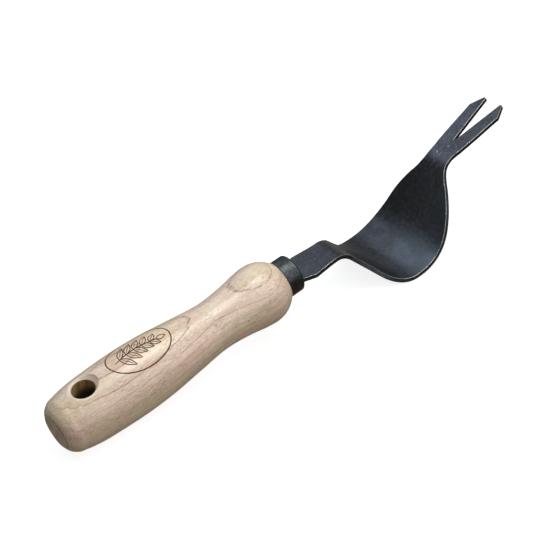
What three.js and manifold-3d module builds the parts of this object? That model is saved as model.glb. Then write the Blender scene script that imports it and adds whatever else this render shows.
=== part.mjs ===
// Hand weeder: a turned wooden handle, a steel ferrule and a forged blade whose bent heel works as a
// fulcrum. Millimetres. The origin is the middle of the handle's flat butt face. +X runs along the handle's
// axis to the fork's tips and +Z is the blade's upper side. The tool is symmetric about the XZ plane but for
// the hanging hole: the handle sits on its tang turned a few degrees about its axis.
import * as THREE from 'three';
import { mergeVertices } from 'three/addons/utils/BufferGeometryUtils.js';
import Module from 'manifold-3d';

const wasm = await Module();
wasm.setup();

// ---- driving dimensions ----
const HANDLE_LENGTH = 139;        // butt face to the ferrule
const CLEARANCE = 0.3;            // gap kept wherever two pieces meet
const ROUND_SEGMENTS = 48;

// Turned outline of the handle: distance from the butt face, radius.
const HANDLE_OUTLINE = [
  [0, 9.0], [1.2, 11.3], [4, 13.9], [9, 15.4], [17, 16.7], [29, 17.4], [45, 17.7], [61, 16.95],
  [79, 15.0], [97, 13.3], [111, 14.4], [121, 16.0], [127, 16.4], [132, 15.5], [136.5, 13.1], [139, 10.9],
];
const RINGS_PER_SPAN = 3;         // turned rings between two outline points

const HANDLE_TURN = 8;            // degrees about the handle's axis, the hole's upper mouth towards -Y
const HANG_HOLE_X = 20.6;
const HANG_HOLE_RADIUS = 6.2;
const HANG_HOLE_SINK_WIDTH = 2;   // how much wider the conical countersink of both mouths is at the crown
const HANG_HOLE_SINK_DEPTH = 2.4;

const SPIGOT_RADIUS = 8.4;        // the handle's front spigot, inside the ferrule
const SPIGOT_LENGTH = 6.4;
const TANG_BORE_RADIUS = 5;
const TANG_BORE_DEPTH = 56;       // into the handle, from the ferrule's rear edge

const FERRULE_RADIUS = 10.25;
const FERRULE_LENGTH = 9;
const FERRULE_EDGE_RADIUS = 1.2;  // rolled front edge
const FERRULE_FRONT_WALL = 2.3;

const STRAP_TOP_Z = -0.5;         // the strap's upper face lies just below the handle's axis
const STRAP_THICKNESS = 2.4;
const TIP_THICKNESS = 2.2;        // the forging thins a little towards the fork's tips

// Side view of the blade's upper face, from the ferrule: straight runs and bends that meet tangentially.
const STRAP_RUN = 21.7;
const CREST_RADIUS = 10;
const DROP_ANGLE = 54.5;
const DROP_RUN = 16.4;
const HEEL_FRONT_RADIUS = 18;
const HEEL_REAR_RADIUS = 33;
const RISE_ANGLE = 50.5;
const RISE_RUN = 24.1;
const NECK_RADIUS = 18;
const FORK_ANGLE = 13.6;
const FORK_RUN = 39;
const BEND_STEP = 1.2;            // longest step along a bend

// Flat blank of the blade: distance along the upper face from the ferrule, half-width.
const STRAP_ROOT_HALF_WIDTH = 8.4;
const BLANK_OUTLINE = [
  [6.7, 11.2], [13, 10.5], [19, 9.9], [26, 10.2], [34, 12.2], [41, 15.5], [48, 20.2], [54, 24.2], [60, 26.7],
  [68, 27.5], [80, 26.9], [90, 24.9], [100, 21.5], [110, 16], [118, 10.4], [122, 8.7], [127, 8.1],
  [136, 9.1], [161, 11.4],
];
const TIP_HALF_WIDTH = 7.2;       // outside of the prongs at their tips, after the outer bevels

const NOTCH_ROOT_BACK = 29.4;     // root of the V between the prongs, back from the tips
const NOTCH_ROOT_RADIUS = 0.5;
const NOTCH_TIP_HALF_WIDTH = 5.7;

const TANG_ROOT_SIDE = 6.4;       // the tang is a square bar that tapers to its end
const TANG_END_SIDE = 3;
const TANG_DEPTH = 52;            // into the handle, from the ferrule's rear edge
const WELD = 0.2;                 // how far the tang runs into the strap, which is forged in one with it

// ---- where the pieces meet along the handle's axis ----
const FERRULE_REAR_X = HANDLE_LENGTH + CLEARANCE;
const FERRULE_FRONT_X = HANDLE_LENGTH + FERRULE_LENGTH;
const STRAP_REAR_X = FERRULE_FRONT_X + CLEARANCE;
const SPIGOT_END_X = HANDLE_LENGTH + SPIGOT_LENGTH;

// ---- helpers ----

// A smooth curve through a list of points: a cubic between each two, with the slope at a point taken from
// both of its neighbours. Returns the height at x.
function smoothThrough(points) {
  const slope = (i) => (points[i + 1][1] - points[i][1]) / (points[i + 1][0] - points[i][0]);
  const last = points.length - 1;
  const tangents = points.map((point, i) => {
    if (i === 0) return slope(0);
    if (i === last) return slope(last - 1);
    const before = point[0] - points[i - 1][0];
    const after = points[i + 1][0] - point[0];
    return (slope(i - 1) * after + slope(i) * before) / (before + after);
  });
  return (x) => {
    let i = 0;
    while (i < last - 1 && x > points[i + 1][0]) i += 1;
    const width = points[i + 1][0] - points[i][0];
    const t = (x - points[i][0]) / width;
    const [low, high] = [points[i][1], points[i + 1][1]];
    const heights = (2 * t ** 3 - 3 * t ** 2 + 1) * low + (3 * t ** 2 - 2 * t ** 3) * high;
    const slopes = (t ** 3 - 2 * t ** 2 + t) * tangents[i] + (t ** 3 - t ** 2) * tangents[i + 1];
    return heights + width * slopes;
  };
}

function toSolid(geometry) {
  const bare = geometry.clone();
  bare.deleteAttribute('normal');
  bare.deleteAttribute('uv');
  const welded = mergeVertices(bare);
  return new wasm.Manifold(new wasm.Mesh({
    numProp: 3,
    vertProperties: new Float32Array(welded.attributes.position.array),
    triVerts: new Uint32Array(welded.index.array),
  }));
}

function toGeometry(solid) {
  const mesh = solid.getMesh();
  const geometry = new THREE.BufferGeometry();
  geometry.setAttribute('position', new THREE.BufferAttribute(new Float32Array(mesh.vertProperties), 3));
  geometry.setIndex(new THREE.BufferAttribute(new Uint32Array(mesh.triVerts), 1));
  geometry.computeVertexNormals();
  return geometry;
}

// A solid turned about the X axis. The profile is a list of [x, radius] that starts and ends on the axis,
// running from low x to high x on the outside.
function turned(profile) {
  const points = profile.map(([x, radius]) => new THREE.Vector2(radius, x));
  const geometry = new THREE.LatheGeometry(points, ROUND_SEGMENTS);
  geometry.rotateZ(-Math.PI / 2);
  return toSolid(geometry);
}

// ---- handle ----

function handleProfile() {
  const radiusAt = smoothThrough(HANDLE_OUTLINE);
  const profile = [[0, 0]];
  for (let i = 0; i < HANDLE_OUTLINE.length - 1; i += 1) {
    const [from, to] = [HANDLE_OUTLINE[i][0], HANDLE_OUTLINE[i + 1][0]];
    for (let k = 0; k < RINGS_PER_SPAN; k += 1) {
      const x = from + ((to - from) * k) / RINGS_PER_SPAN;
      profile.push([x, radiusAt(x)]);
    }
  }
  profile.push(HANDLE_OUTLINE[HANDLE_OUTLINE.length - 1]);
  profile.push([HANDLE_LENGTH, SPIGOT_RADIUS], [SPIGOT_END_X, SPIGOT_RADIUS], [SPIGOT_END_X, 0]);
  return profile;
}

// The cutter of the hanging hole: a straight bore with a conical countersink at both mouths, measured from
// the crown of the handle, and turned with the handle.
function hangHoleCutter() {
  const crown = smoothThrough(HANDLE_OUTLINE)(HANG_HOLE_X);
  const beyond = 6;
  const widening = HANG_HOLE_SINK_WIDTH / HANG_HOLE_SINK_DEPTH;
  const wide = HANG_HOLE_RADIUS + widening * (HANG_HOLE_SINK_DEPTH + beyond);
  const upper = [
    [HANG_HOLE_RADIUS, crown - HANG_HOLE_SINK_DEPTH],
    [wide, crown + beyond],
    [0, crown + beyond],
  ];
  const lower = upper.map(([radius, height]) => [radius, -height]).reverse();
  const points = [...lower, ...upper].map(([radius, height]) => new THREE.Vector2(radius, height));
  const geometry = new THREE.LatheGeometry(points, ROUND_SEGMENTS);
  geometry.rotateX(Math.PI / 2 + THREE.MathUtils.degToRad(HANDLE_TURN));
  geometry.translate(HANG_HOLE_X, 0, 0);
  return toSolid(geometry);
}

function handle() {
  const boreEnd = HANDLE_LENGTH - TANG_BORE_DEPTH;
  const beyond = SPIGOT_END_X + 1;
  const bore = turned([[boreEnd, 0], [boreEnd, TANG_BORE_RADIUS], [beyond, TANG_BORE_RADIUS], [beyond, 0]]);
  return turned(handleProfile()).subtract(hangHoleCutter()).subtract(bore);
}

// ---- ferrule ----

// A cap over the spigot, with a rolled front edge and a square hole that the tang passes through.
function ferrule() {
  const inner = SPIGOT_RADIUS + CLEARANCE;
  const frontWallX = FERRULE_FRONT_X - FERRULE_FRONT_WALL;
  const edgeSteps = 6;
  const profile = [
    [frontWallX, 0],
    [frontWallX, inner],
    [FERRULE_REAR_X, inner],
    [FERRULE_REAR_X, FERRULE_RADIUS],
  ];
  for (let k = 0; k <= edgeSteps; k += 1) {
    const angle = (k / edgeSteps) * (Math.PI / 2);
    const x = FERRULE_FRONT_X - FERRULE_EDGE_RADIUS * (1 - Math.sin(angle));
    profile.push([x, FERRULE_RADIUS - FERRULE_EDGE_RADIUS * (1 - Math.cos(angle))]);
  }
  profile.push([FERRULE_FRONT_X, 0]);
  const holeSide = TANG_ROOT_SIDE + 2 * CLEARANCE;
  const hole = new THREE.BoxGeometry(4 * FERRULE_FRONT_WALL, holeSide, holeSide);
  hole.translate(FERRULE_FRONT_X, 0, 0);
  return turned(profile).subtract(toSolid(hole));
}

// ---- blade ----

// Stations along the blade's upper face, each with its place in the side view, its slope and its distance
// along the face.
function bladeStations() {
  const stations = [{ x: STRAP_REAR_X, z: STRAP_TOP_Z, slope: 0, along: 0 }];
  const advance = (length, turn) => {
    const { x, z, slope, along } = stations[stations.length - 1];
    const heading = slope + turn / 2;
    const chord = turn === 0 ? length : (2 * length * Math.sin(Math.abs(turn) / 2)) / Math.abs(turn);
    stations.push({
      x: x + chord * Math.cos(heading),
      z: z + chord * Math.sin(heading),
      slope: slope + turn,
      along: along + length,
    });
  };
  const run = (length) => {
    const steps = Math.ceil(length / (2 * BEND_STEP));
    for (let k = 0; k < steps; k += 1) advance(length / steps, 0);
  };
  const bend = (radius, toDegrees) => {
    const turn = THREE.MathUtils.degToRad(toDegrees) - stations[stations.length - 1].slope;
    const length = radius * Math.abs(turn);
    const steps = Math.ceil(length / BEND_STEP);
    for (let k = 0; k < steps; k += 1) advance(length / steps, turn / steps);
  };
  run(STRAP_RUN);
  bend(CREST_RADIUS, -DROP_ANGLE);
  run(DROP_RUN);
  bend(HEEL_FRONT_RADIUS, 0);
  bend(HEEL_REAR_RADIUS, RISE_ANGLE);
  run(RISE_RUN);
  bend(NECK_RADIUS, FORK_ANGLE);
  run(FORK_RUN);
  return stations;
}

// Half-width of the flat blank: the strap flares from the ferrule to its shoulders, follows the smooth
// outline through the heel and the neck, and the prongs end in straight outer bevels.
function halfWidthAt(along, length) {
  const [shoulder, shoulderWidth] = BLANK_OUTLINE[0];
  const [bevel, bevelWidth] = BLANK_OUTLINE[BLANK_OUTLINE.length - 1];
  if (along < shoulder) {
    return THREE.MathUtils.mapLinear(along, 0, shoulder, STRAP_ROOT_HALF_WIDTH, shoulderWidth);
  }
  if (along > bevel) {
    return THREE.MathUtils.mapLinear(along, bevel, length, bevelWidth, TIP_HALF_WIDTH);
  }
  return smoothThrough(BLANK_OUTLINE)(along);
}

// Stations with one more wherever the blank's outline has a corner, so that its corners stay sharp.
function stationsWithCorners() {
  const stations = bladeStations();
  const corners = [BLANK_OUTLINE[0][0], BLANK_OUTLINE[BLANK_OUTLINE.length - 1][0]];
  for (const corner of corners) {
    const next = stations.findIndex((station) => station.along > corner);
    const [low, high] = [stations[next - 1], stations[next]];
    const t = (corner - low.along) / (high.along - low.along);
    const between = (key) => low[key] + (high[key] - low[key]) * t;
    stations.splice(next, 0, { x: between('x'), z: between('z'), slope: between('slope'), along: corner });
  }
  return stations;
}

// The blank bent to its side view: a bar of rectangular section, four corners at each station.
function bentBlank() {
  const stations = stationsWithCorners();
  const length = stations[stations.length - 1].along;
  const positions = [];
  const faces = [];
  for (const { x, z, slope, along } of stations) {
    const half = halfWidthAt(along, length);
    const thickness = THREE.MathUtils.mapLinear(along, 0, length, STRAP_THICKNESS, TIP_THICKNESS);
    const under = [x + thickness * Math.sin(slope), z - thickness * Math.cos(slope)];
    positions.push(x, half, z, x, -half, z, under[0], -half, under[1], under[0], half, under[1]);
  }
  for (let i = 0; i < stations.length - 1; i += 1) {
    for (let side = 0; side < 4; side += 1) {
      const [a, b] = [4 * i + side, 4 * i + ((side + 1) % 4)];
      faces.push(a, b, b + 4, a, b + 4, a + 4);
    }
  }
  const end = 4 * (stations.length - 1);
  faces.push(0, 3, 2, 0, 2, 1, end, end + 1, end + 2, end, end + 2, end + 3);
  const geometry = new THREE.BufferGeometry();
  geometry.setAttribute('position', new THREE.Float32BufferAttribute(positions, 3));
  geometry.setIndex(faces);
  return { solid: toSolid(geometry), tip: stations[stations.length - 1] };
}

// The V between the prongs, cut straight down: a round root that opens to the tips.
function notchCutter(tip) {
  const rootX = tip.x - NOTCH_ROOT_BACK;
  const flank = (NOTCH_TIP_HALF_WIDTH - NOTCH_ROOT_RADIUS) / NOTCH_ROOT_BACK;
  const beyond = 5;
  const mouth = NOTCH_TIP_HALF_WIDTH + flank * beyond;
  const shape = new THREE.Shape();
  shape.moveTo(tip.x + beyond, -mouth);
  shape.lineTo(tip.x + beyond, mouth);
  shape.lineTo(rootX, NOTCH_ROOT_RADIUS);
  shape.absarc(rootX, 0, NOTCH_ROOT_RADIUS, Math.PI / 2, -Math.PI / 2, false);
  const height = 60;
  const options = { depth: height, bevelEnabled: false, curveSegments: 8 };
  const geometry = new THREE.ExtrudeGeometry(shape, options);
  geometry.translate(0, 0, -height / 2);
  return toSolid(geometry);
}

// The tang: a square bar along the handle's axis, widest at the strap.
function tang() {
  const endX = HANDLE_LENGTH - TANG_DEPTH;
  const length = STRAP_REAR_X + WELD - endX;
  const corner = Math.SQRT1_2;
  const geometry = new THREE.CylinderGeometry(TANG_ROOT_SIDE * corner, TANG_END_SIDE * corner, length, 4);
  geometry.rotateY(Math.PI / 4);
  geometry.rotateZ(-Math.PI / 2);
  geometry.translate(endX + length / 2, 0, 0);
  return toSolid(geometry);
}

function blade() {
  const { solid, tip } = bentBlank();
  return solid.subtract(notchCutter(tip)).add(tang());
}

// ---- assembly ----

function piece(name, solid, color, roughness, metalness) {
  const material = new THREE.MeshStandardMaterial({ color, roughness, metalness });
  const mesh = new THREE.Mesh(toGeometry(solid), material);
  mesh.name = name;
  return mesh;
}

const weeder = new THREE.Group();
weeder.add(piece('handle', handle(), 0xcdb79e, 0.45, 0));
weeder.add(piece('ferrule', ferrule(), 0x23272b, 0.4, 0.8));
weeder.add(piece('blade', blade(), 0x202326, 0.45, 0.8));

export default weeder;
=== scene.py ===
"""Looks of a hand weeder: a turned ash handle, a black steel ferrule and a forged blade with a bent heel.

The row frame has its origin at the middle of the butt face, X along the handle to the fork's tips and Z up
from the blade. Outlines are given in millimetres and meshes are made in metres.
"""

import math

import bmesh
import bpy
import numpy as np
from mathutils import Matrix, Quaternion, Vector, noise


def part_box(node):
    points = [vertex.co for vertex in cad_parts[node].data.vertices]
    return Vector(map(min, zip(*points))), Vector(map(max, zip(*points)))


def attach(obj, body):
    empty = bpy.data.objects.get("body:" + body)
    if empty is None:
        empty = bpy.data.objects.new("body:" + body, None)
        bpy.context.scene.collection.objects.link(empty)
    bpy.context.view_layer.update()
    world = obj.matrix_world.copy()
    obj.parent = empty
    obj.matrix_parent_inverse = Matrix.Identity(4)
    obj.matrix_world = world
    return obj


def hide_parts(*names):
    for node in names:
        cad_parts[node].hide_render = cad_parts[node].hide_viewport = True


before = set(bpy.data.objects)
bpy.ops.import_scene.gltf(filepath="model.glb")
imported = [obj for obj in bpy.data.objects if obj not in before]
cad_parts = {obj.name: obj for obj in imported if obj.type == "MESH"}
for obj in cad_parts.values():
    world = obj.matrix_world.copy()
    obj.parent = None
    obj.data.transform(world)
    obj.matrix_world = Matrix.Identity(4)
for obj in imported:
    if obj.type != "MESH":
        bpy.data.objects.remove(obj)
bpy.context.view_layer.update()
MM = 0.001

# ---- sizes taken from the frame, in millimetres ----
HANDLE_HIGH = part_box("handle")[1] / MM
FERRULE_LOW, FERRULE_HIGH = [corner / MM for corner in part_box("ferrule")]
BLADE_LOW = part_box("blade")[0] / MM
CLEARANCE = 0.3                   # between surfaces that touch in the real tool
HANDLE_LENGTH = FERRULE_LOW.x - CLEARANCE
SPIGOT_END_X = HANDLE_HIGH.x
FERRULE_RADIUS = FERRULE_HIGH.z
FERRULE_FRONT_X = FERRULE_HIGH.x
STRAP_REAR_X = FERRULE_FRONT_X + CLEARANCE

# ---- the handle's turned outline: distance from the butt face, radius ----
HANDLE_OUTLINE = [
    (0, 9.0), (1.2, 11.3), (4, 13.9), (9, 15.4), (17, 16.7), (29, 17.4), (45, 17.7), (61, 16.95),
    (79, 15.0), (97, 13.3), (111, 14.4), (121, 16.0), (127, 16.4), (132, 15.5), (136.5, 13.1), (139, 10.9),
]
HANDLE_TURN = math.radians(8)     # about the handle's axis, its upper side towards -Y
HANG_HOLE_X = 20.6
HANG_HOLE_RADIUS = 6.2
HANG_HOLE_SINK_WIDTH = 2.0
HANG_HOLE_SINK_DEPTH = 2.4
SPIGOT_RADIUS = 8.4
TANG_BORE_RADIUS = 5.0
TANG_BORE_DEPTH = 56.0

# ---- the blade: side view of its upper face, and half-width of its flat blank ----
STRAP_TOP_Z = -0.5
STRAP_THICKNESS = 2.4
TIP_THICKNESS = 2.2
STRAP_RUN = 21.7
CREST_RADIUS = 10
DROP_ANGLE = 54.5
DROP_RUN = 16.4
HEEL_FRONT_RADIUS = 18
HEEL_REAR_RADIUS = 33
RISE_ANGLE = 50.5
RISE_RUN = 24.1
NECK_RADIUS = 18
FORK_ANGLE = 13.6
FORK_RUN = 39
STRAP_ROOT_HALF_WIDTH = 8.4
BLANK_OUTLINE = [
    (6.7, 11.2), (13, 10.5), (19, 9.9), (26, 10.2), (34, 12.2), (41, 15.5), (48, 20.2), (54, 24.2),
    (60, 26.7), (68, 27.5), (80, 26.9), (90, 24.9), (100, 21.5), (110, 16), (118, 10.4), (122, 8.7),
    (127, 8.1), (136, 9.1), (161, 11.4),
]
TIP_HALF_WIDTH = 7.2
NOTCH_ROOT_BACK = 29.4
NOTCH_ROOT_RADIUS = 0.5
NOTCH_TIP_HALF_WIDTH = 5.7
TANG_ROOT_SIDE = 6.4
TANG_END_SIDE = 3.0
HEEL_RUN = 54                     # from the strap's rear to the heel's lowest point
EDGE_ROUNDING = 0.32
SHARP_ANGLE = math.radians(40)    # edges that turn by more than this are shaded sharp or rounded


# ---------------------------------------------------------------- outlines

def smooth_through(points):
    """A smooth curve through points, as a function: a cubic between each two, its slope at a point taken
    from both neighbours."""
    xs, ys = np.array(points, float).T
    gaps = np.diff(xs)
    slopes = np.diff(ys) / gaps
    tangents = np.empty(len(xs))
    tangents[0], tangents[-1] = slopes[0], slopes[-1]
    tangents[1:-1] = (slopes[:-1] * gaps[1:] + slopes[1:] * gaps[:-1]) / (gaps[:-1] + gaps[1:])

    def height(x):
        x = np.asarray(x, float)
        i = np.clip(np.searchsorted(xs, x, side="right") - 1, 0, len(gaps) - 1)
        t = (x - xs[i]) / gaps[i]
        start = (2 * t**3 - 3 * t**2 + 1) * ys[i] + (t**3 - 2 * t**2 + t) * gaps[i] * tangents[i]
        end = (3 * t**2 - 2 * t**3) * ys[i + 1] + (t**3 - t**2) * gaps[i] * tangents[i + 1]
        return start + end

    return height


handle_radius = smooth_through(HANDLE_OUTLINE)


def smoothstep(t):
    t = np.clip(t, 0, 1)
    return t * t * (3 - 2 * t)


# ---------------------------------------------------------------- mesh helpers

def make_object(name, vertices, faces, materials):
    """A smooth-shaded mesh object from vertices in millimetres."""
    mesh = bpy.data.meshes.new(name)
    mesh.from_pydata([tuple(MM * c for c in v) for v in vertices], [], faces)
    mesh.validate()
    mesh.update()
    mesh.polygons.foreach_set("use_smooth", [True] * len(mesh.polygons))
    piece = bpy.data.objects.new(name, mesh)
    bpy.context.scene.collection.objects.link(piece)
    for material in materials:
        mesh.materials.append(material)
    return piece


def mark_sharp(piece, loops):
    """Shades the edges along these loops of vertices sharp."""
    loops = [set(loop) for loop in loops]
    for edge in piece.data.edges:
        edge.use_edge_sharp = any(set(edge.vertices) <= loop for loop in loops)


def remove_loose_vertices(piece):
    """Removes the vertices that no face uses."""
    net = bmesh.new()
    net.from_mesh(piece.data)
    loose = [vertex for vertex in net.verts if not vertex.link_faces]
    bmesh.ops.delete(net, geom=loose, context="VERTS")
    net.to_mesh(piece.data)
    net.free()


def add_modifier(piece, kind, **settings):
    modifier = piece.modifiers.new(kind.lower(), kind)
    for key, value in settings.items():
        setattr(modifier, key, value)


def finish_piece(piece, node):
    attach(piece, "root")
    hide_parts(node)


# ---------------------------------------------------------------- material helpers

class Nodes:
    """A small helper that builds one material's node tree."""

    def __init__(self, name):
        self.material = bpy.data.materials.new(name)
        self.material.use_nodes = True
        self.tree = self.material.node_tree
        self.shader = self.tree.nodes["Principled BSDF"]
        self.millimetres = self.math_vector("SCALE", self.add("ShaderNodeTexCoord").outputs["Object"], 1 / MM)

    def add(self, kind, **settings):
        node = self.tree.nodes.new(kind)
        for key, value in settings.items():
            setattr(node, key, value)
        return node

    def link(self, value, socket):
        if isinstance(value, bpy.types.NodeSocket):
            self.tree.links.new(value, socket)
        else:
            socket.default_value = value

    def math_vector(self, operation, vector, factor):
        node = self.add("ShaderNodeVectorMath", operation=operation)
        self.link(vector, node.inputs[0])
        self.link(factor, node.inputs["Scale"] if operation == "SCALE" else node.inputs[1])
        return node.outputs["Vector"]

    def axes(self):
        """The surface point's x, y and z in millimetres."""
        node = self.add("ShaderNodeSeparateXYZ")
        self.link(self.millimetres, node.inputs[0])
        return node.outputs

    def math(self, operation, first, second=0.0):
        node = self.add("ShaderNodeMath", operation=operation)
        self.link(first, node.inputs[0])
        self.link(second, node.inputs[1])
        return node.outputs[0]

    def sum_of_squares(self, first, second):
        return self.math("ADD", self.math("MULTIPLY", first, first), self.math("MULTIPLY", second, second))

    def noise(self, stretch, detail=3.0, roughness=0.55):
        """Noise whose grains are 1 / stretch millimetres along each axis."""
        scaled = self.math_vector("MULTIPLY", self.millimetres, stretch)
        node = self.add("ShaderNodeTexNoise")
        node.inputs["Scale"].default_value = 1.0
        node.inputs["Detail"].default_value = detail
        node.inputs["Roughness"].default_value = roughness
        self.link(scaled, node.inputs["Vector"])
        return node.outputs["Fac"]

    def remap(self, value, low, high, to_low=0.0, to_high=1.0):
        node = self.add("ShaderNodeMapRange", interpolation_type="SMOOTHSTEP")
        for socket, number in zip(("From Min", "From Max", "To Min", "To Max"), (low, high, to_low, to_high)):
            node.inputs[socket].default_value = number
        self.link(value, node.inputs["Value"])
        return node.outputs["Result"]

    def band(self, value, rise, fall):
        """A mask that goes up from 0 to 1 over the range rise and down again over the range fall."""
        return self.math("MULTIPLY", self.remap(value, *rise), self.remap(value, *fall, 1.0, 0.0))

    def mix(self, factor, first, second):
        node = self.add("ShaderNodeMix", data_type="RGBA")
        self.link(factor, node.inputs["Factor"])
        self.link(first, node.inputs["A"])
        self.link(second, node.inputs["B"])
        return node.outputs["Result"]

    def tint(self, base, mask, strength, tone):
        """base, mixed with tone by that strength where the mask is 1."""
        return self.mix(self.math("MULTIPLY", mask, strength), base, tone)

    def bump(self, height, distance, strength, normal=None):
        node = self.add("ShaderNodeBump")
        node.inputs["Strength"].default_value = strength
        node.inputs["Distance"].default_value = distance * MM
        self.link(height, node.inputs["Height"])
        if normal is not None:
            self.link(normal, node.inputs["Normal"])
        return node.outputs["Normal"]


def color(red, green, blue):
    """A screen colour, 0 to 255, as the linear colour that a shader takes."""
    def linear(value):
        value /= 255
        return value / 12.92 if value <= 0.04045 else ((value + 0.055) / 1.055) ** 2.4
    return (linear(red), linear(green), linear(blue), 1.0)


# ---------------------------------------------------------------- materials

WOOD = {
    "straw": color(223, 208, 174),
    "pink": color(231, 204, 186),
    "brown band": color(190, 160, 134),
    "fibre": color(178, 152, 128),
    "early wood": color(192, 150, 110),
    "ring line": color(146, 104, 70),
    "fleck": color(240, 229, 214),
    "pore": color(120, 92, 68),
    "toasted": color(214, 166, 122),
    # paler cut wood round the hanging hole, also a painted highlight on its edge
    "pale cut wood and highlight": color(240, 229, 208),
    "end grain": color(112, 82, 66),
    "butt edge": color(84, 58, 44),
    "chip": color(238, 222, 208),
    "bore": color(168, 136, 88),
    "bore streak": color(122, 94, 56),
    # painted shade deep in the hanging hole
    "painted bore shade": color(38, 26, 22),
    "dark scorch": color(64, 42, 26),
    "light scorch": color(106, 72, 46),
}
STEEL = {
    "green black": color(62, 68, 70),
    "violet black": color(66, 66, 73),
    "mottle": color(92, 94, 98),
    "light grain": color(116, 113, 118),
    "dark grain": color(40, 41, 44),
    # painted sheen on the heel
    "painted_sheen": color(92, 100, 108),
    "shaded": color(44, 46, 48),
    "speck": color(176, 180, 182),
    "black": color(0, 0, 0),
    "edge finish": color(92, 95, 97),
    "bare": color(214, 214, 210),
    "covered edge": color(78, 79, 81),
    "rim finish": color(52, 54, 57),
    # the polished rim, lighter on top as a painted highlight
    "rim polish and highlight": color(138, 142, 146),
}

# ---- ranges of x, in millimetres, over which the steel's look changes ----
HEEL_BEGINS = (178.0, 192.0)
HEEL_ENDS = (244.0, 256.0)
NECK_BEGINS = (242.0, 250.0)
NECK_ENDS = (260.0, 268.0)
EDGE_COVERED_FROM = (164.0, 170.0)
EDGE_WORN_FROM = (188.0, 200.0)


def ash_wood():
    """Pale ring-porous hardwood: rings about a pith far below the handle, so that they break out of its
    upper side as long arches and loops, short dark pores and pale flecks along the grain, and fine fibre."""
    n = Nodes("ash_wood")
    x, y, z = n.axes()
    line, early = growth_rings(n, x, y, z)
    clusters = n.remap(n.noise((0.05, 0.13, 0.13), detail=2.0), 0.38, 0.62, 0.3, 1.0)
    pores = n.remap(n.noise((0.40, 2.3, 2.3), detail=1.5, roughness=0.6), 0.55, 0.63)
    pores = n.math("MULTIPLY", pores, clusters)
    flecks = n.remap(n.noise((0.33, 1.9, 2.1), detail=1.0), 0.58, 0.68)
    fibre = n.noise((0.035, 1.5, 1.5), detail=4.0, roughness=0.65)
    bands = n.remap(n.noise((0.012, 0.24, 0.24), detail=2.0), 0.42, 0.62)
    tone = n.noise((0.02, 0.06, 0.06), detail=3.0)
    base = n.mix(n.remap(tone, 0.35, 0.65), WOOD["straw"], WOOD["pink"])
    base = n.tint(base, bands, 0.32, WOOD["brown band"])
    base = n.tint(base, n.remap(fibre, 0.3, 0.7), 0.34, WOOD["fibre"])
    base = n.tint(base, early, 0.16, WOOD["early wood"])
    line = n.math("MULTIPLY", line, n.remap(x, 10.0, 30.0, 0.3, 0.7))
    base = n.mix(line, base, WOOD["ring line"])
    base = n.tint(base, flecks, 0.5, WOOD["fleck"])
    base = n.tint(base, pores, 0.46, WOOD["pore"])
    base = n.tint(base, inside_mark(n, x, y, z), 0.3, WOOD["toasted"])
    # paler cut wood with a painted highlight round the hanging hole's mouths
    base = n.tint(base, mouth_rim(n, x, y, z), 0.6, WOOD["pale cut wood and highlight"])
    base = butt_end(n, x, base)
    n.link(base, n.shader.inputs["Base Color"])
    n.link(n.remap(fibre, 0.25, 0.75, 0.42, 0.54), n.shader.inputs["Roughness"])
    n.shader.inputs["Coat Weight"].default_value = 0.8
    n.shader.inputs["Coat Roughness"].default_value = 0.26
    grain = n.math("ADD", n.math("MULTIPLY", fibre, 0.35), n.math("MULTIPLY", pores, -0.8))
    n.link(n.bump(grain, 0.10, 0.5), n.shader.inputs["Normal"])
    return n.material


def growth_rings(n, x, y, z):
    """Two masks: the thin dark line where a ring starts, and the wider tinted band that fades away from it.
    The lines are strong on the handle's upper side and broken and faint lower down."""
    ring_width = 3.1
    pith_y = 2.0
    pith_depth = 45.0
    first_ring = 0.24
    sway = n.noise((0.011, 0.035, 0.035), detail=2.0)
    ripple = n.noise((0.11, 0.28, 0.28), detail=3.0)
    across = n.math("ADD", y, -pith_y)
    down = n.math("ADD", z, pith_depth)
    squares = n.sum_of_squares(across, down)
    radius = n.math("ADD", n.math("SQRT", squares), n.math("MULTIPLY", x, -0.004))
    radius = n.math("ADD", radius, n.math("MULTIPLY", sway, 5.0))
    radius = n.math("ADD", radius, n.math("MULTIPLY", ripple, 0.8))
    ring = n.math("FRACT", n.math("MULTIPLY", n.math("ADD", radius, first_ring), 1 / ring_width))
    line = n.band(ring, (0.0, 0.04), (0.06, 0.14))
    second = n.band(ring, (0.28, 0.32), (0.33, 0.38))
    gaps = n.noise((0.06, 0.5, 0.5), detail=2.0)
    line = n.math("ADD", line, n.math("MULTIPLY", second, n.remap(gaps, 0.48, 0.6, 0.0, 0.5)))
    height = n.remap(z, 3.0, 11.0, 0.3, 1.0)
    line = n.math("MULTIPLY", line, n.math("MULTIPLY", height, n.remap(gaps, 0.36, 0.5, 0.45, 1.0)))
    early = n.band(ring, (0.0, 0.06), (0.12, 0.6))
    return line, early


def inside_mark(n, x, y, z):
    """Mask of the wood inside the branded oval, a little toasted by the iron."""
    along = n.math("MULTIPLY", n.math("ADD", x, -MARK_X), 2 / MARK_LENGTH)
    middle_y = -float(handle_radius(MARK_X)) * math.sin(HANDLE_TURN)
    across = n.math("MULTIPLY", n.math("ADD", y, -middle_y), 2 / MARK_WIDTH)
    squares = n.sum_of_squares(along, across)
    patches = n.remap(n.noise((0.12, 0.12, 0.12), detail=2.0), 0.35, 0.6)
    upper = n.remap(z, 0.0, 4.0)
    return n.math("MULTIPLY", n.math("MULTIPLY", n.remap(squares, 0.8, 1.0, 1.0, 0.0), upper), patches)


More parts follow.
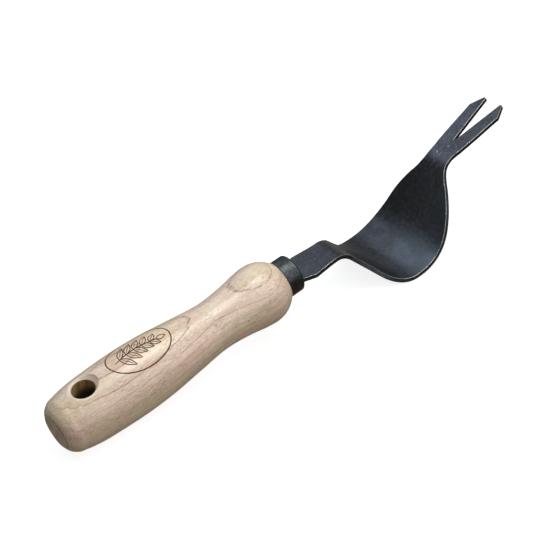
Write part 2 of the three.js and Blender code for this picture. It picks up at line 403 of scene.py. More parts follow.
def mouth_rim(n, x, y, z):
    """Mask of the countersink's paler, freshly cut wood, which also carries a painted highlight along the
    hole's edge: full near the bore, and fading towards its edge.
    """
    along = n.math("ADD", x, -HANG_HOLE_X)
    across = n.math("MULTIPLY", y, math.cos(HANDLE_TURN))
    across = n.math("ADD", across, n.math("MULTIPLY", z, math.sin(HANDLE_TURN)))
    squares = n.sum_of_squares(along, across)
    near = n.remap(n.math("SQRT", squares), HANG_HOLE_RADIUS + 0.9, HANG_HOLE_RADIUS + 2.2, 1.0, 0.0)
    return n.math("MULTIPLY", near, n.remap(n.math("ABSOLUTE", z), 11.0, 13.0))


def butt_end(n, x, base):
    """End grain at the butt: darker, with a dark line and a few pale chips where the lathe left its edge."""
    stains = n.noise((0.15, 0.15, 0.15), detail=3.0)
    face = n.math("MULTIPLY", n.remap(x, 0.02, 0.2, 1.0, 0.0), n.remap(stains, 0.35, 0.65, 0.15, 0.45))
    base = n.mix(face, base, WOOD["end grain"])
    edge = n.band(x, (0.0, 0.15), (0.25, 0.7))
    base = n.tint(base, edge, 0.55, WOOD["butt edge"])
    chips = n.remap(n.noise((0.5, 0.5, 0.5), detail=2.0), 0.6, 0.66)
    rim = n.band(x, (0.05, 0.3), (0.9, 1.5))
    return n.tint(base, n.math("MULTIPLY", chips, rim), 0.8, WOOD["chip"])


def bore_wood():
    """The same wood inside the hanging hole: unlacquered, with painted shade that darkens it deeper in."""
    n = Nodes("bore_wood")
    _, _, z = n.axes()
    streaks = n.noise((1.2, 1.2, 0.12), detail=4.0)
    rings = n.noise((0.3, 0.3, 2.5), detail=2.0)
    outer = n.math("ADD", n.math("ABSOLUTE", z), n.math("MULTIPLY", streaks, 2.0))
    base = n.mix(n.remap(streaks, 0.3, 0.7), WOOD["bore"], WOOD["bore streak"])
    # painted shade: the hole's wall darkens deeper in, away from its mouths
    base = n.mix(n.remap(outer, 7.0, 12.5, 0.93, 0.0), base, WOOD["painted bore shade"])
    n.link(base, n.shader.inputs["Base Color"])
    n.shader.inputs["Roughness"].default_value = 0.7
    n.link(n.bump(n.math("ADD", streaks, rings), 0.15, 0.6), n.shader.inputs["Normal"])
    return n.material


def black_steel(name, sheen_grain=0.11, lightness=1.0):
    """Forged steel with a black oxide finish: nearly black and mottled, with a fine pitted grain. From the
    drop to the neck it is smoother, with a painted sheen lighter towards -Y and painted shade darker towards
    +Y. The neck has a few specks."""
    n = Nodes(name)
    x, y, _ = n.axes()
    heel = n.band(x, HEEL_BEGINS, HEEL_ENDS)
    coarse = n.remap(heel, 0.0, 1.0, 1.0, 0.25)
    blotch = n.noise((sheen_grain, sheen_grain, sheen_grain), detail=3.0, roughness=0.6)
    hue = n.noise((0.05, 0.05, 0.05), detail=2.0)
    mottle = n.noise((0.55, 0.55, 0.55), detail=3.0, roughness=0.6)
    grain = n.noise((1.6, 1.6, 1.6), detail=3.0, roughness=0.7)
    base = n.mix(n.remap(hue, 0.4, 0.6), STEEL["green black"], STEEL["violet black"])
    base = n.tint(base, n.remap(mottle, 0.42, 0.66), 0.5, STEEL["mottle"])
    light_grains = n.math("MULTIPLY", n.remap(grain, 0.54, 0.66, 0.0, 0.55), coarse)
    dark_grains = n.math("MULTIPLY", n.remap(grain, 0.34, 0.44, 0.6, 0.0), coarse)
    base = n.mix(light_grains, base, STEEL["light grain"])
    base = n.mix(dark_grains, base, STEEL["dark grain"])
    # painted sheen: the heel's colour is lightened towards -Y
    painted_sheen = n.math("MULTIPLY", n.remap(y, -24.0, 16.0, 0.38, 0.0), heel)
    base = n.mix(painted_sheen, base, STEEL["painted_sheen"])
    # painted shade: the heel's colour is darkened towards +Y
    shaded = n.math("MULTIPLY", n.remap(y, -6.0, 24.0, 0.0, 0.35), heel)
    base = n.mix(shaded, base, STEEL["shaded"])
    neck = n.band(x, NECK_BEGINS, NECK_ENDS)
    specks = n.remap(n.noise((0.9, 0.9, 0.9), detail=0.0), 0.78, 0.81, 0.0, 0.7)
    base = n.mix(n.math("MULTIPLY", specks, neck), base, STEEL["speck"])
    n.link(n.mix(1.0 - lightness, base, STEEL["black"]), n.shader.inputs["Base Color"])
    n.shader.inputs["Metallic"].default_value = 1.0
    rough = n.math("ADD", n.remap(blotch, 0.35, 0.65, 0.32, 0.46), n.remap(mottle, 0.3, 0.7, -0.04, 0.05))
    n.link(rough, n.shader.inputs["Roughness"])
    pitted = n.math("ADD", n.math("MULTIPLY", mottle, 0.6), n.math("MULTIPLY", grain, 0.4))
    pitted = n.math("MULTIPLY", pitted, coarse)
    wide = n.bump(blotch, 0.5, 0.3)
    n.link(n.bump(pitted, 0.08, 0.5, wide), n.shader.inputs["Normal"])
    return n.material


def worn_edge():
    """The rounded edge of the blade: bare steel worn through the black finish, in places, and least on
    the crest and the drop."""
    n = Nodes("worn_edge")
    x, _, _ = n.axes()
    behind = n.remap(x, *EDGE_COVERED_FROM, 1.0, 0.3)
    ahead = n.remap(x, *EDGE_WORN_FROM, 0.0, 0.7)
    outside = n.remap(x, STRAP_REAR_X, STRAP_REAR_X + 1.5)
    reached = n.math("MULTIPLY", n.math("ADD", behind, ahead), outside)
    wear = n.noise((0.16, 0.16, 0.16), detail=5.0, roughness=0.65)
    scratches = n.noise((1.5, 1.5, 1.5), detail=4.0, roughness=0.7)
    bare = n.remap(n.math("ADD", wear, n.math("MULTIPLY", scratches, 0.35)), 0.46, 0.68)
    worn = n.mix(bare, STEEL["edge finish"], STEEL["bare"])
    n.link(n.mix(reached, STEEL["covered edge"], worn), n.shader.inputs["Base Color"])
    n.shader.inputs["Metallic"].default_value = 0.9
    n.link(n.remap(scratches, 0.3, 0.7, 0.3, 0.45), n.shader.inputs["Roughness"])
    n.link(n.bump(scratches, 0.05, 0.4), n.shader.inputs["Normal"])
    return n.material


def polished_rim_and_highlight():
    """The ferrule's front edge: the black finish only polished, and lighter on its upper side as a painted
    highlight.
    """
    n = Nodes("polished_rim_and_highlight")
    _, _, z = n.axes()
    # painted highlight: the polish is strongest on the rim's upper side
    upper = n.remap(z, 3.0, 9.5, 0.0, 0.8)
    wear = n.noise((0.5, 0.5, 0.5), detail=3.0)
    polish_and_highlight = n.math("MULTIPLY", upper, n.remap(wear, 0.35, 0.6, 0.3, 1.0))
    n.link(n.mix(polish_and_highlight, STEEL["rim finish"], STEEL["rim polish and highlight"]), n.shader.inputs["Base Color"])
    n.shader.inputs["Metallic"].default_value = 1.0
    n.link(n.remap(wear, 0.3, 0.7, 0.34, 0.46), n.shader.inputs["Roughness"])
    n.link(n.bump(wear, 0.04, 0.4), n.shader.inputs["Normal"])
    return n.material


def burnt_line():
    """The branded lines of the handle's mark: scorched wood, unevenly dark."""
    n = Nodes("burnt_line")
    scorch = n.noise((0.9, 0.9, 0.9), detail=4.0)
    base = n.mix(n.remap(scorch, 0.35, 0.65), WOOD["dark scorch"], WOOD["light scorch"])
    n.link(base, n.shader.inputs["Base Color"])
    n.shader.inputs["Roughness"].default_value = 0.7
    n.shader.inputs["Specular IOR Level"].default_value = 0.2
    n.link(n.bump(scorch, 0.05, 0.5), n.shader.inputs["Normal"])
    return n.material


# ---------------------------------------------------------------- handle

RING_STEP = 0.6           # spacing of the turned rings
COLUMNS = 180             # columns of vertices round the handle
HOLE_CELLS = 10           # half-size of the block of cells that the hanging hole replaces
SINK_RINGS = 5            # rings of vertices from the bore's wall up the countersink to its edge
BLEND_RINGS = 12          # rings over which round rings turn into the square grid
EASED_EDGE = 0.2          # half-width of the sanded edge of the countersink
EASED_DROP = 0.05         # how far that edge is sanded down
BUTT_FACE_RADII = (8.3, 6.0, 3.0)     # rings of vertices on the flat butt face


def handle_stations():
    """Ring positions: even along most of the handle, closer at both rounded ends."""
    butt_run, front_run = 3.0, 3.5
    butt_rings, front_rings = 8, 9
    butt_crowding, front_crowding = 1.5, 1.2
    front = butt_run + RING_STEP * math.floor((HANDLE_LENGTH - front_run - butt_run) / RING_STEP)
    even = np.arange(butt_run, front + RING_STEP / 2, RING_STEP)
    start = butt_run * np.linspace(0, 1, butt_rings + 1)[:-1] ** butt_crowding
    left = np.linspace(1, 0, front_rings + 1)[1:] ** front_crowding
    return np.concatenate([start, even, HANDLE_LENGTH - (HANDLE_LENGTH - front) * left])


def grid_vertex(i, j):
    """Number of the vertex in ring i and column j of the handle's grid."""
    return i * COLUMNS + j % COLUMNS


def in_mouth(i, j, middle_ring, mouths):
    """Whether the grid's cell i, j is one that a mouth of the hanging hole replaces."""
    if not -HOLE_CELLS <= i - middle_ring < HOLE_CELLS:
        return False
    return any(-HOLE_CELLS <= j - column < HOLE_CELLS for column, _ in mouths)


def surface_height(x, y):
    """Height of the handle's turned surface above the plane of its axis."""
    return math.sqrt(handle_radius(x) ** 2 - y**2)


def sink_height(radius):
    """Height of the countersink's cone at that distance from the hole's axis."""
    crown = float(handle_radius(HANG_HOLE_X))
    return crown + HANG_HOLE_SINK_DEPTH * ((radius - HANG_HOLE_RADIUS) / HANG_HOLE_SINK_WIDTH - 1)


def sink_edge(angle):
    """Distance from the hole's axis at which the countersink meets the handle's surface in that direction."""
    low, high = HANG_HOLE_RADIUS, HANG_HOLE_RADIUS + 2 * HANG_HOLE_SINK_WIDTH
    halvings = 30
    for _ in range(halvings):
        middle = (low + high) / 2
        x, y = HANG_HOLE_X + middle * math.cos(angle), middle * math.sin(angle)
        if sink_height(middle) < surface_height(x, y):
            low = middle
        else:
            high = middle
    return low


def hole_point(ring, angle):
    """A vertex on one of the round rings: up the countersink, over its edge and out over the surface."""
    edge = sink_edge(angle)
    if ring < SINK_RINGS:
        radius = HANG_HOLE_RADIUS + (edge - EASED_EDGE - HANG_HOLE_RADIUS) * ring / (SINK_RINGS - 1)
        height = sink_height(radius)
    else:
        radius = edge + (0 if ring == SINK_RINGS else EASED_EDGE + RING_STEP * (ring - SINK_RINGS - 1))
        height = None
    return HANG_HOLE_X + radius * math.cos(angle), radius * math.sin(angle), height


def bend_grid_round_hole(grid, middle_ring, middle_column, side):
    """Moves the grid's vertices near one mouth of the hanging hole onto round rings, the inner ones down the
    countersink. side is 1 for the upper mouth and -1 for the lower one."""
    reach = HOLE_CELLS + BLEND_RINGS
    for di in range(-reach, reach + 1):
        for dj in range(-reach, reach + 1):
            ring = max(abs(di), abs(dj)) - HOLE_CELLS
            if ring < 0 or ring > BLEND_RINGS:
                continue
            i, j = middle_ring + di, (middle_column + dj) % COLUMNS
            if abs(di) >= abs(dj):
                turn = math.pi / 4 * dj / abs(di)
                angle = turn if di > 0 else math.pi - turn
            else:
                turn = math.pi / 4 * di / abs(dj)
                angle = math.pi / 2 - turn if dj > 0 else turn - math.pi / 2
            round_x, round_y, height = hole_point(ring, -side * angle)
            square_x, square_y, _ = grid[i, j]
            blend = float(smoothstep((ring - SINK_RINGS) / (BLEND_RINGS - SINK_RINGS)))
            x = round_x + (square_x - round_x) * blend
            y = round_y + (square_y - round_y) * blend
            if height is None:
                height = surface_height(x, y) - (EASED_DROP if ring == SINK_RINGS else 0)
            grid[i, j] = (x, y, side * height)


def handle_body():
    """The turned handle with its drilled and eased hanging hole, and hidden in the ferrule its spigot and
    the bore for the tang."""
    stations = handle_stations()
    angles = 2 * math.pi * np.arange(COLUMNS) / COLUMNS
    radii = handle_radius(stations)
    grid = np.empty((len(stations), COLUMNS, 3))
    grid[:, :, 0] = stations[:, None]
    grid[:, :, 1] = radii[:, None] * np.cos(angles)
    grid[:, :, 2] = radii[:, None] * np.sin(angles)
    middle = int(np.argmin(abs(stations - HANG_HOLE_X)))
    mouths = ((COLUMNS // 4, 1), (3 * COLUMNS // 4, -1))
    for column, side in mouths:
        bend_grid_round_hole(grid, middle, column, side)

    vertices = [tuple(v) for v in grid.reshape(-1, 3)]
    faces = [
        (grid_vertex(i, j), grid_vertex(i, j + 1), grid_vertex(i + 1, j + 1), grid_vertex(i + 1, j))
        for i in range(len(stations) - 1) for j in range(COLUMNS) if not in_mouth(i, j, middle, mouths)
    ]
    bore_start = len(faces)
    mouth_loops = [mouth_loop(vertices, middle, column) for column, _ in mouths]
    faces += bore_wall(vertices, *mouth_loops)
    bore_end = len(faces)
    faces += end_cap(vertices, 0, [(0.0, radius) for radius in BUTT_FACE_RADII], flip=True)
    last = len(stations) - 1
    bore_x = HANDLE_LENGTH - TANG_BORE_DEPTH
    front = [(HANDLE_LENGTH, SPIGOT_RADIUS), (SPIGOT_END_X, SPIGOT_RADIUS)]
    front += [(SPIGOT_END_X, TANG_BORE_RADIUS), (bore_x, TANG_BORE_RADIUS)]
    faces += end_cap(vertices, last, front, flip=False)

    vertices = [turned_with_handle(vertex) for vertex in vertices]
    piece = make_object("turned_handle", vertices, faces, [ash_wood(), bore_wood()])
    for polygon in piece.data.polygons[bore_start:bore_end]:
        polygon.material_index = 1
    rims = [[grid_vertex(i, j) for j in range(COLUMNS)] for i in (0, last)]
    mark_sharp(piece, mouth_loops + rims)
    remove_loose_vertices(piece)
    finish_piece(piece, "handle")


def mouth_loop(vertices, middle, column):
    """The innermost ring of vertices round one mouth of the hanging hole, in order round its axis."""
    cells = range(-HOLE_CELLS, HOLE_CELLS + 1)
    rim = {(di, dj) for di in cells for dj in cells if max(abs(di), abs(dj)) == HOLE_CELLS}
    loop = [grid_vertex(middle + di, column + dj) for di, dj in rim]
    return sorted(loop, key=lambda v: math.atan2(vertices[v][1], vertices[v][0] - HANG_HOLE_X))


def bore_wall(vertices, upper, lower, steps=12):
    """Quads of the hanging hole's wall, from the upper mouth's loop of vertices to the lower one's."""
    loops = [upper]
    for k in range(1, steps):
        loop = []
        for top, bottom in zip(upper, lower):
            a, b = Vector(vertices[top]), Vector(vertices[bottom])
            vertices.append(tuple(a.lerp(b, k / steps)))
            loop.append(len(vertices) - 1)
        loops.append(loop)
    loops.append(lower)
    count = len(upper)
    return [
        (loops[k][s], loops[k][(s + 1) % count], loops[k + 1][(s + 1) % count], loops[k + 1][s])
        for k in range(steps) for s in range(count)
    ]


def turned_with_handle(vertex):
    """The vertex turned about the handle's axis by as much as the handle is turned on its tang."""
    x, y, z = vertex
    cosine, sine = math.cos(HANDLE_TURN), math.sin(HANDLE_TURN)
    return (x, y * cosine - z * sine, y * sine + z * cosine)


def end_cap(vertices, ring, steps, flip):
    """Closes an end of the handle with rings of the given (x, radius) and a middle point."""
    previous = [grid_vertex(ring, j) for j in range(COLUMNS)]
    faces = []
    for x, radius in steps:
        loop = []
        for j in range(COLUMNS):
            angle = 2 * math.pi * j / COLUMNS
            vertices.append((x, radius * math.cos(angle), radius * math.sin(angle)))
            loop.append(len(vertices) - 1)
        for j in range(COLUMNS):
            following = (j + 1) % COLUMNS
            faces.append((previous[j], previous[following], loop[following], loop[j]))
        previous = loop
    vertices.append((steps[-1][0], 0, 0))
    middle = len(vertices) - 1
    faces += [(previous[j], previous[(j + 1) % COLUMNS], middle) for j in range(COLUMNS)]
    return [face[::-1] for face in faces] if flip else faces


# ---------------------------------------------------------------- ferrule

def ferrule_cap():
    """The steel cap: a tube with a rolled front edge and a square hole for the tang."""
    segments = 128
    inner = SPIGOT_RADIUS + CLEARANCE
    rear = FERRULE_LOW.x
    front_thickness = 2.3
    front_wall = FERRULE_FRONT_X - front_thickness
    hole_half = TANG_ROOT_SIDE / 2 + CLEARANCE
    rear_face = 0.5
    lip = 0.35
    roll = 1.2
    roll_steps = 8
    worn_steps = 1

    def quarter(middle_x, middle_r, radius, start):
        """Points of a quarter round, starting at that angle from the outward direction."""
        angles = [math.radians(start + 90 * k / roll_steps) for k in range(roll_steps + 1)]
        return [(middle_x + radius * math.sin(a), middle_r + radius * math.cos(a)) for a in angles]

    profile = [(front_wall, inner), (rear, inner), (rear, inner + rear_face)]
    profile += quarter(rear + lip, FERRULE_RADIUS - lip, lip, -90)
    profile += quarter(FERRULE_FRONT_X - roll, FERRULE_RADIUS - roll, roll, 0)
    vertices = []
    for x, radius in profile:
        for k in range(segments):
            angle = 2 * math.pi * k / segments
            vertices.append((x, radius * math.cos(angle), radius * math.sin(angle)))

    def square_ring(x):
        """A ring of as many points as the round ones, on the square hole's edge."""
        start = len(vertices)
        for k in range(segments):
            angle = 2 * math.pi * k / segments
            reach = hole_half / max(abs(math.cos(angle)), abs(math.sin(angle)))
            vertices.append((x, reach * math.cos(angle), reach * math.sin(angle)))
        return start

    worn_start = len(profile) - roll_steps - 1
    rings = [segments * k for k in range(len(profile))]
    rings += [square_ring(FERRULE_FRONT_X), square_ring(front_wall)]
    faces = []
    for start, following in zip(rings, rings[1:] + rings[:1]):
        for k in range(segments):
            nxt = (k + 1) % segments
            faces.append((start + k, start + nxt, following + nxt, following + k))
    steel = black_steel("ferrule_steel", sheen_grain=0.16, lightness=0.82)
    piece = make_object("ferrule_cap", vertices, faces, [steel, polished_rim_and_highlight()])
    for polygon in piece.data.polygons[segments * worn_start:segments * (worn_start + worn_steps)]:
        polygon.material_index = 1
    piece.data.set_sharp_from_angle(angle=SHARP_ANGLE)
    finish_piece(piece, "ferrule")


# ---------------------------------------------------------------- blade

def bend_line():
    """The side view of the blade's upper face, as a function from the distance along it to (x, z, slope).
    Also returns its whole length."""
    radians = math.radians
    parts = [
        (STRAP_RUN, 0.0),
        (CREST_RADIUS * radians(DROP_ANGLE), -radians(DROP_ANGLE)),
        (DROP_RUN, 0.0),
        (HEEL_FRONT_RADIUS * radians(DROP_ANGLE), radians(DROP_ANGLE)),
        (HEEL_REAR_RADIUS * radians(RISE_ANGLE), radians(RISE_ANGLE)),
        (RISE_RUN, 0.0),
        (NECK_RADIUS * radians(RISE_ANGLE - FORK_ANGLE), -radians(RISE_ANGLE - FORK_ANGLE)),
        (FORK_RUN, 0.0),
    ]

    def forward(start, length, turn):
        x, z, slope = start
        if turn == 0:
            return (x + length * math.cos(slope), z + length * math.sin(slope), slope)
        chord = 2 * length / abs(turn) * math.sin(abs(turn) / 2)
        heading = slope + turn / 2
        return (x + chord * math.cos(heading), z + chord * math.sin(heading), slope + turn)

    starts = [(STRAP_REAR_X, STRAP_TOP_Z, 0.0)]
    for length, turn in parts:
        starts.append(forward(starts[-1], length, turn))

    def place(along):
        left = along
        for start, (length, turn) in zip(starts, parts):
            if left <= length or start is starts[-2]:
                return forward(start, left, turn * left / length)
            left -= length

    return place, sum(length for length, _ in parts)


place_on_blade, BLADE_LENGTH = bend_line()
TIP_X = place_on_blade(BLADE_LENGTH)[0]
blank_half_width = smooth_through(BLANK_OUTLINE)


def half_width(along):
    """Half-width of the blade: flare, smooth outline, and the straight outer bevels of the prongs."""
    shoulder, shoulder_width = BLANK_OUTLINE[0]
    bevel, bevel_width = BLANK_OUTLINE[-1]
    if along < shoulder:
        return STRAP_ROOT_HALF_WIDTH + (shoulder_width - STRAP_ROOT_HALF_WIDTH) * along / shoulder
    if along > bevel:
        return bevel_width + (TIP_HALF_WIDTH - bevel_width) * (along - bevel) / (BLADE_LENGTH - bevel)
    return float(blank_half_width(along))


def notch_half_width(x):
    """Half-width of the V between the prongs, or 0 behind its round root."""
    root = TIP_X - NOTCH_ROOT_BACK
    if x <= root - NOTCH_ROOT_RADIUS:
        return 0.0
    if x <= root:
        return math.sqrt(max(0.0, NOTCH_ROOT_RADIUS**2 - (root - x) ** 2))
    return NOTCH_ROOT_RADIUS + (NOTCH_TIP_HALF_WIDTH - NOTCH_ROOT_RADIUS) * (x - root) / NOTCH_ROOT_BACK


def blade_stations():
    """Distances along the blade: even steps, the outline's corners, and a fine set round the notch's root."""
    step = 0.8
    fork_stretch = 1 / math.cos(math.radians(FORK_ANGLE))
    root = BLADE_LENGTH - NOTCH_ROOT_BACK * fork_stretch
    turns = np.radians(np.linspace(0, 90, 7))
    root_stations = root - NOTCH_ROOT_RADIUS * fork_stretch * np.cos(turns)
    corners = [0.0, BLANK_OUTLINE[0][0], BLANK_OUTLINE[-1][0], BLADE_LENGTH]
    fixed = np.concatenate([corners, root_stations])
    even = np.arange(0, BLADE_LENGTH, step)
    even = [s for s in even if np.min(abs(fixed - s)) > 0.4 * step]
    return np.sort(np.concatenate([fixed, even])), root_stations[0]


UNEVENNESS = 0.07         # of the blade's faces
EDGE_UNEVENNESS = 0.15    # of its outline
EDGE_ROW = 40             # a distance across that keeps the outline's unevenness apart from the faces'


def forged(along, across, amount):
    """A slow unevenness, as hammered and bent steel has."""
    wave_along, wave_across, layer = 14, 11, 3.7
    return amount * noise.noise(Vector((along / wave_along, across / wave_across, layer)))


def blade_forging():
    """The one-piece blade: strap, crest, heel, rise, neck and fork, with rounded worn edges, and its tang."""
    stations, notch_start = blade_stations()
    across = np.linspace(0, 1, 11)
    vertices, faces = [], []
    rows = {1: [], -1: []}
    for along in stations:
        x, z, slope = place_on_blade(along)
        inner = notch_half_width(x) if along > notch_start else 0.0
        outer = half_width(along) + forged(along, EDGE_ROW, EDGE_UNEVENNESS) - EDGE_UNEVENNESS
        thickness = STRAP_THICKNESS + (TIP_THICKNESS - STRAP_THICKNESS) * along / BLADE_LENGTH
        for side in (1, -1):
            upper, lower = [], []
            for k, share in enumerate(across):
                shared = side == -1 and k == 0 and inner == 0.0
                if shared:
                    upper.append(rows[1][-1][0][0])
                    lower.append(rows[1][-1][1][0])
                    continue
                y = side * (inner + (outer - inner) * share)
                sink = forged(along, y, UNEVENNESS) + UNEVENNESS
                for depth, row in ((sink, upper), (thickness - UNEVENNESS / 2, lower)):
                    vertices.append((x + depth * math.sin(slope), y, z - depth * math.cos(slope)))
                    row.append(len(vertices) - 1)
            rows[side].append((upper, lower))

    def quad(a, b, c, d, side):
        faces.append((a, b, c, d) if side == 1 else (d, c, b, a))

    last = len(across) - 1
    for side in (1, -1):
        strip = rows[side]
        for i in range(len(stations) - 1):
            (upper, lower), (next_upper, next_lower) = strip[i], strip[i + 1]
            for k in range(last):
                quad(upper[k], next_upper[k], next_upper[k + 1], upper[k + 1], side)
                quad(lower[k], lower[k + 1], next_lower[k + 1], next_lower[k], side)
            quad(upper[last], next_upper[last], next_lower[last], lower[last], side)
            if stations[i] >= notch_start:
                quad(next_upper[0], upper[0], lower[0], next_lower[0], side)
        for (upper, lower), turned in ((strip[0], 1), (strip[-1], -1)):
            for k in range(last):
                quad(upper[k], upper[k + 1], lower[k + 1], lower[k], side * turned)
    add_tang(vertices, faces)
    piece = make_object("blade_forging", vertices, faces, [black_steel("blade_steel"), worn_edge()])
    add_modifier(
        piece, "BEVEL", width=EDGE_ROUNDING * MM, segments=3, limit_method="ANGLE", angle_limit=SHARP_ANGLE,
        material=1, harden_normals=True,
    )
    finish_piece(piece, "blade")


def add_tang(vertices, faces):
    """The square tang along the handle's axis, drawn down towards its end."""
    end_x = BLADE_LOW.x
    inside_strap = 0.2
    front_x = STRAP_REAR_X + inside_strap
    steps = 6
    first = len(vertices)
    for k in range(steps + 1):
        share = k / steps
        half = (TANG_END_SIDE + (TANG_ROOT_SIDE - TANG_END_SIDE) * share) / 2
        x = end_x + (front_x - end_x) * share
        vertices += [(x, half, half), (x, -half, half), (x, -half, -half), (x, half, -half)]
    for k in range(steps):
        for side in range(4):
            a, b = first + 4 * k + side, first + 4 * k + (side + 1) % 4
            faces.append((a, b, b + 4, a + 4))
    faces.append((first + 3, first + 2, first + 1, first))
    top = first + 4 * steps
    faces.append((top, top + 1, top + 2, top + 3))


# ---------------------------------------------------------------- the mark on the handle

MARK_X = 54
MARK_LENGTH = 36
MARK_WIDTH = 24
MARK_LINE = 0.66


def on_handle(along, across, height):
    """A point on the handle's upper side: along the axis from the mark's middle, across as arc length."""
    x = MARK_X + along
    radius = float(handle_radius(x))
    angle = across / radius - HANDLE_TURN
    return (x, (radius + height) * math.sin(angle), (radius + height) * math.cos(angle))


def ribbon(vertices, faces, path, width, closed=False):
    """A flat line of that width along path, sunk into the surface and standing a hair proud of it."""
    proud, sunk = 0.03, -0.12
    end_share = 0.35
    count = len(path)
    first = len(vertices)
    for k, (along, across) in enumerate(path):
        before = path[k - 1] if closed or k > 0 else path[k]
        after = path[(k + 1) % count] if closed or k < count - 1 else path[k]
        direction = Vector((after[0] - before[0], after[1] - before[1])).normalized()
        half = width / 2
        if not closed:
            half *= end_share + (1 - end_share) * math.sin(math.pi * k / (count - 1)) ** 0.5
        offset = Vector((-direction.y, direction.x)) * half
        for sign, height in ((1, proud), (-1, proud), (-1, sunk), (1, sunk)):
            vertices.append(on_handle(along + sign * offset.x, across + sign * offset.y, height))
    for k in range(count if closed else count - 1):
        here, there = first + 4 * k, first + 4 * ((k + 1) % count)
        for side in range(4):
            nxt = (side + 1) % 4
            faces.append((here + nxt, there + nxt, there + side, here + side))
    if not closed:
        end = first + 4 * (count - 1)
        faces.append((first + 3, first + 2, first + 1, first))
        faces.append((end, end + 1, end + 2, end + 3))


def ellipse(length, width, points=96):
    angles = [2 * math.pi * k / points for k in range(points)]
    return [(length / 2 * math.cos(a), width / 2 * math.sin(a)) for a in angles]


def leaf(base, heading, length, width, points=15):
    """The two curved sides of a pointed leaf, as one closed path."""
    forward = Vector((math.cos(heading), math.sin(heading)))
    sideways = Vector((-forward.y, forward.x))
    shares = [k / (points - 1) for k in range(points)]
    side = [(t * length, width / 2 * math.sin(math.pi * t) ** 0.9 * (1.15 - 0.5 * t)) for t in shares]
    outline = side + [(u, -v) for u, v in side[-2:0:-1]]
    return [tuple(Vector(base) + forward * u + sideways * v) for u, v in outline]


def sprig_stem(share):
    """A point on the sprig's gently curved stem, from its cut end at 0 to its last leaf at 1."""
    start, length, bow, lowered = -14.5, 25, 1.8, 1.0
    return (start + length * share, bow * math.sin(math.pi * share) - lowered)


def branded_mark():
    """A plain oval with a sprig of leaves, branded into the wood on the handle's upper side."""
    vertices, faces = [], []
    ribbon(vertices, faces, ellipse(MARK_LENGTH, MARK_WIDTH), MARK_LINE, closed=True)
    stem = [sprig_stem(t) for t in np.linspace(0, 1, 24)]
    ribbon(vertices, faces, stem, 1.2 * MARK_LINE)
    pairs = 5
    first_pair, pair_step = 0.14, 0.18
    first_size, size_step = 9.2, 0.9
    first_angle, angle_step = 54, 3
    leaf_width = 3.4
    leaf_line, vein_line = 0.8 * MARK_LINE, 0.6 * MARK_LINE
    for k in range(pairs):
        base = sprig_stem(first_pair + pair_step * k)
        size = first_size - size_step * k
        for side in (1, -1):
            heading = side * math.radians(first_angle - angle_step * k)
            ribbon(vertices, faces, leaf(base, heading, size, leaf_width), leaf_line, closed=True)
            tip = Vector((math.cos(heading), math.sin(heading))) * size
            vein = [(base[0] + tip.x * t, base[1] + tip.y * t) for t in np.linspace(0.15, 0.85, 8)]
            ribbon(vertices, faces, vein, vein_line)
    last_size, last_width = 5.0, 2.8
    ribbon(vertices, faces, leaf(stem[-1], 0.0, last_size, last_width), leaf_line, closed=True)
    piece = make_object("branded_leaf_mark", vertices, faces, [burnt_line()])
    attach(piece, "root")


# ---------------------------------------------------------------- stage

def floor():
    """A large pale floor that the tool rests on, at its heel and at the lower side of its handle. It glows
    to show nearly white, and is hidden from diffuse and glossy rays."""
    heel_x = STRAP_REAR_X + HEEL_RUN
    heel_z = BLADE_LOW.z
    along = np.arange(0.0, HANDLE_LENGTH, 1.0)
    tilt = math.atan(np.min((-handle_radius(along) - heel_z) / (heel_x - along)))
    half = 4.0
    gap = 0.2
    mesh = bpy.data.meshes.new("floor")
    corners = [(-half, -half, 0), (half, -half, 0), (half, half, 0), (-half, half, 0)]
    mesh.from_pydata(corners, [], [(0, 1, 2, 3)])
    plane = bpy.data.objects.new("floor", mesh)
    bpy.context.scene.collection.objects.link(plane)
    plane.location = (heel_x * MM, 0, (heel_z - gap) * MM)
    plane.rotation_euler = (0, tilt, 0)
    n = Nodes("floor_paper")
    soft = n.noise((0.004, 0.004, 0.004), detail=2.0)
    base = n.mix(n.remap(soft, 0.3, 0.7), color(160, 160, 160), color(166, 166, 166))
    n.link(base, n.shader.inputs["Base Color"])
    n.shader.inputs["Roughness"].default_value = 0.9
    n.shader.inputs["Specular IOR Level"].default_value = 0.1
    n.shader.inputs["Emission Color"].default_value = (1, 1, 1, 1)
    n.shader.inputs["Emission Strength"].default_value = 0.85
    mesh.materials.append(n.material)
    plane.visible_diffuse = False
    plane.visible_glossy = False


def softbox(name, direction, distance, size, radiance, tint=(1, 1, 1)):
    """A square softbox of that side, aimed at the middle of the tool from that direction. Its power grows
    with its area, so that radiance is its brightness at any size."""
    data = bpy.data.lights.new(name, "AREA")
    data.shape = "SQUARE"
    data.size = size
    data.energy = radiance * math.pi * size**2
    data.color = tint
    light = bpy.data.objects.new(name, data)
    bpy.context.scene.collection.objects.link(light)
    back = Vector(direction).normalized()
    light.location = Vector((TIP_X / 2 * MM, 0, 0)) + back * distance
    light.rotation_mode = "QUATERNION"
    light.rotation_quaternion = back.to_track_quat("Z", "Y")


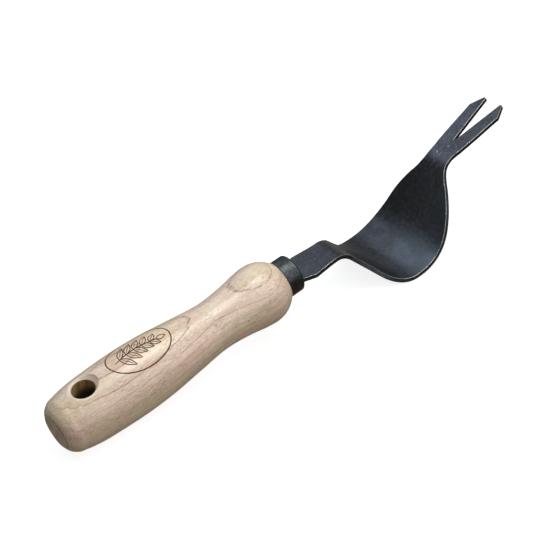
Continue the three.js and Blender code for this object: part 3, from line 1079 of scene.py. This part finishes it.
def camera():
    """The camera looks down at the tool from beyond its butt's near side, turned about its own axis."""
    data = bpy.data.cameras.new("camera")
    data.lens = 130.9
    data.sensor_width = 36
    data.clip_end = 20
    viewer = bpy.data.objects.new("camera", data)
    bpy.context.scene.collection.objects.link(viewer)
    azimuth, elevation, roll = (math.radians(angle) for angle in (-25.7, 36.9, 17.9))
    distance = 1.017
    level = math.cos(elevation)
    back = Vector((math.sin(azimuth) * level, -math.cos(azimuth) * level, math.sin(elevation)))
    target = Vector((HANDLE_LENGTH + 0.8, 3.9, 1.7)) * MM
    viewer.location = target + back * distance
    viewer.rotation_mode = "QUATERNION"
    viewer.rotation_quaternion = Quaternion(back, -roll) @ back.to_track_quat("Z", "Y")
    bpy.context.scene.camera = viewer


def surroundings():
    """Soft light from all round, warmer from below. The camera sees a plain pale backdrop in its place."""
    light_strength = 0.21
    backdrop_strength = 1.0
    world = bpy.data.worlds.new("studio")
    world.use_nodes = True
    tree = world.node_tree
    direction = tree.nodes.new("ShaderNodeSeparateXYZ")
    ramp = tree.nodes.new("ShaderNodeMapRange")
    mix = tree.nodes.new("ShaderNodeMix")
    mix.data_type = "RGBA"
    mix.inputs["A"].default_value = (1.0, 0.84, 0.68, 1.0)
    mix.inputs["B"].default_value = (1.0, 1.0, 1.0, 1.0)
    ramp.inputs["From Min"].default_value = -0.3
    ramp.inputs["From Max"].default_value = 0.3
    tree.links.new(tree.nodes.new("ShaderNodeTexCoord").outputs["Generated"], direction.inputs[0])
    tree.links.new(direction.outputs["Z"], ramp.inputs["Value"])
    tree.links.new(ramp.outputs["Result"], mix.inputs["Factor"])
    tree.links.new(mix.outputs["Result"], tree.nodes["Background"].inputs["Color"])
    tree.nodes["Background"].inputs["Strength"].default_value = light_strength
    backdrop = tree.nodes.new("ShaderNodeBackground")
    backdrop.inputs["Color"].default_value = (1.0, 1.0, 1.0, 1.0)
    backdrop.inputs["Strength"].default_value = backdrop_strength
    chosen = tree.nodes.new("ShaderNodeMixShader")
    seen = tree.nodes.new("ShaderNodeLightPath").outputs["Is Camera Ray"]
    tree.links.new(seen, chosen.inputs[0])
    tree.links.new(tree.nodes["Background"].outputs[0], chosen.inputs[1])
    tree.links.new(backdrop.outputs[0], chosen.inputs[2])
    tree.links.new(chosen.outputs[0], tree.nodes["World Output"].inputs["Surface"])
    bpy.context.scene.world = world
    bpy.context.scene.view_settings.view_transform = "Standard"


camera()
surroundings()
floor()
# name, direction, distance, side, radiance, tint
softbox("top_key", (0.35, -0.09, 0.93), 0.9, 0.5, 2.7)
softbox("bright_spot", (0.15, -0.1, 0.95), 0.45, 0.14, 7.8)
softbox("front_fill", (0.35, -0.72, 0.6), 1.4, 1.8, 1.4)
softbox("window", (0.08, 0.69, 0.72), 1.4, 0.95, 1.6, (0.74, 0.86, 1.0))
softbox("far_side", (0.8, 0.58, 0.12), 1.5, 1.3, 0.25)

handle_body()
ferrule_cap()
blade_forging()
branded_mark()
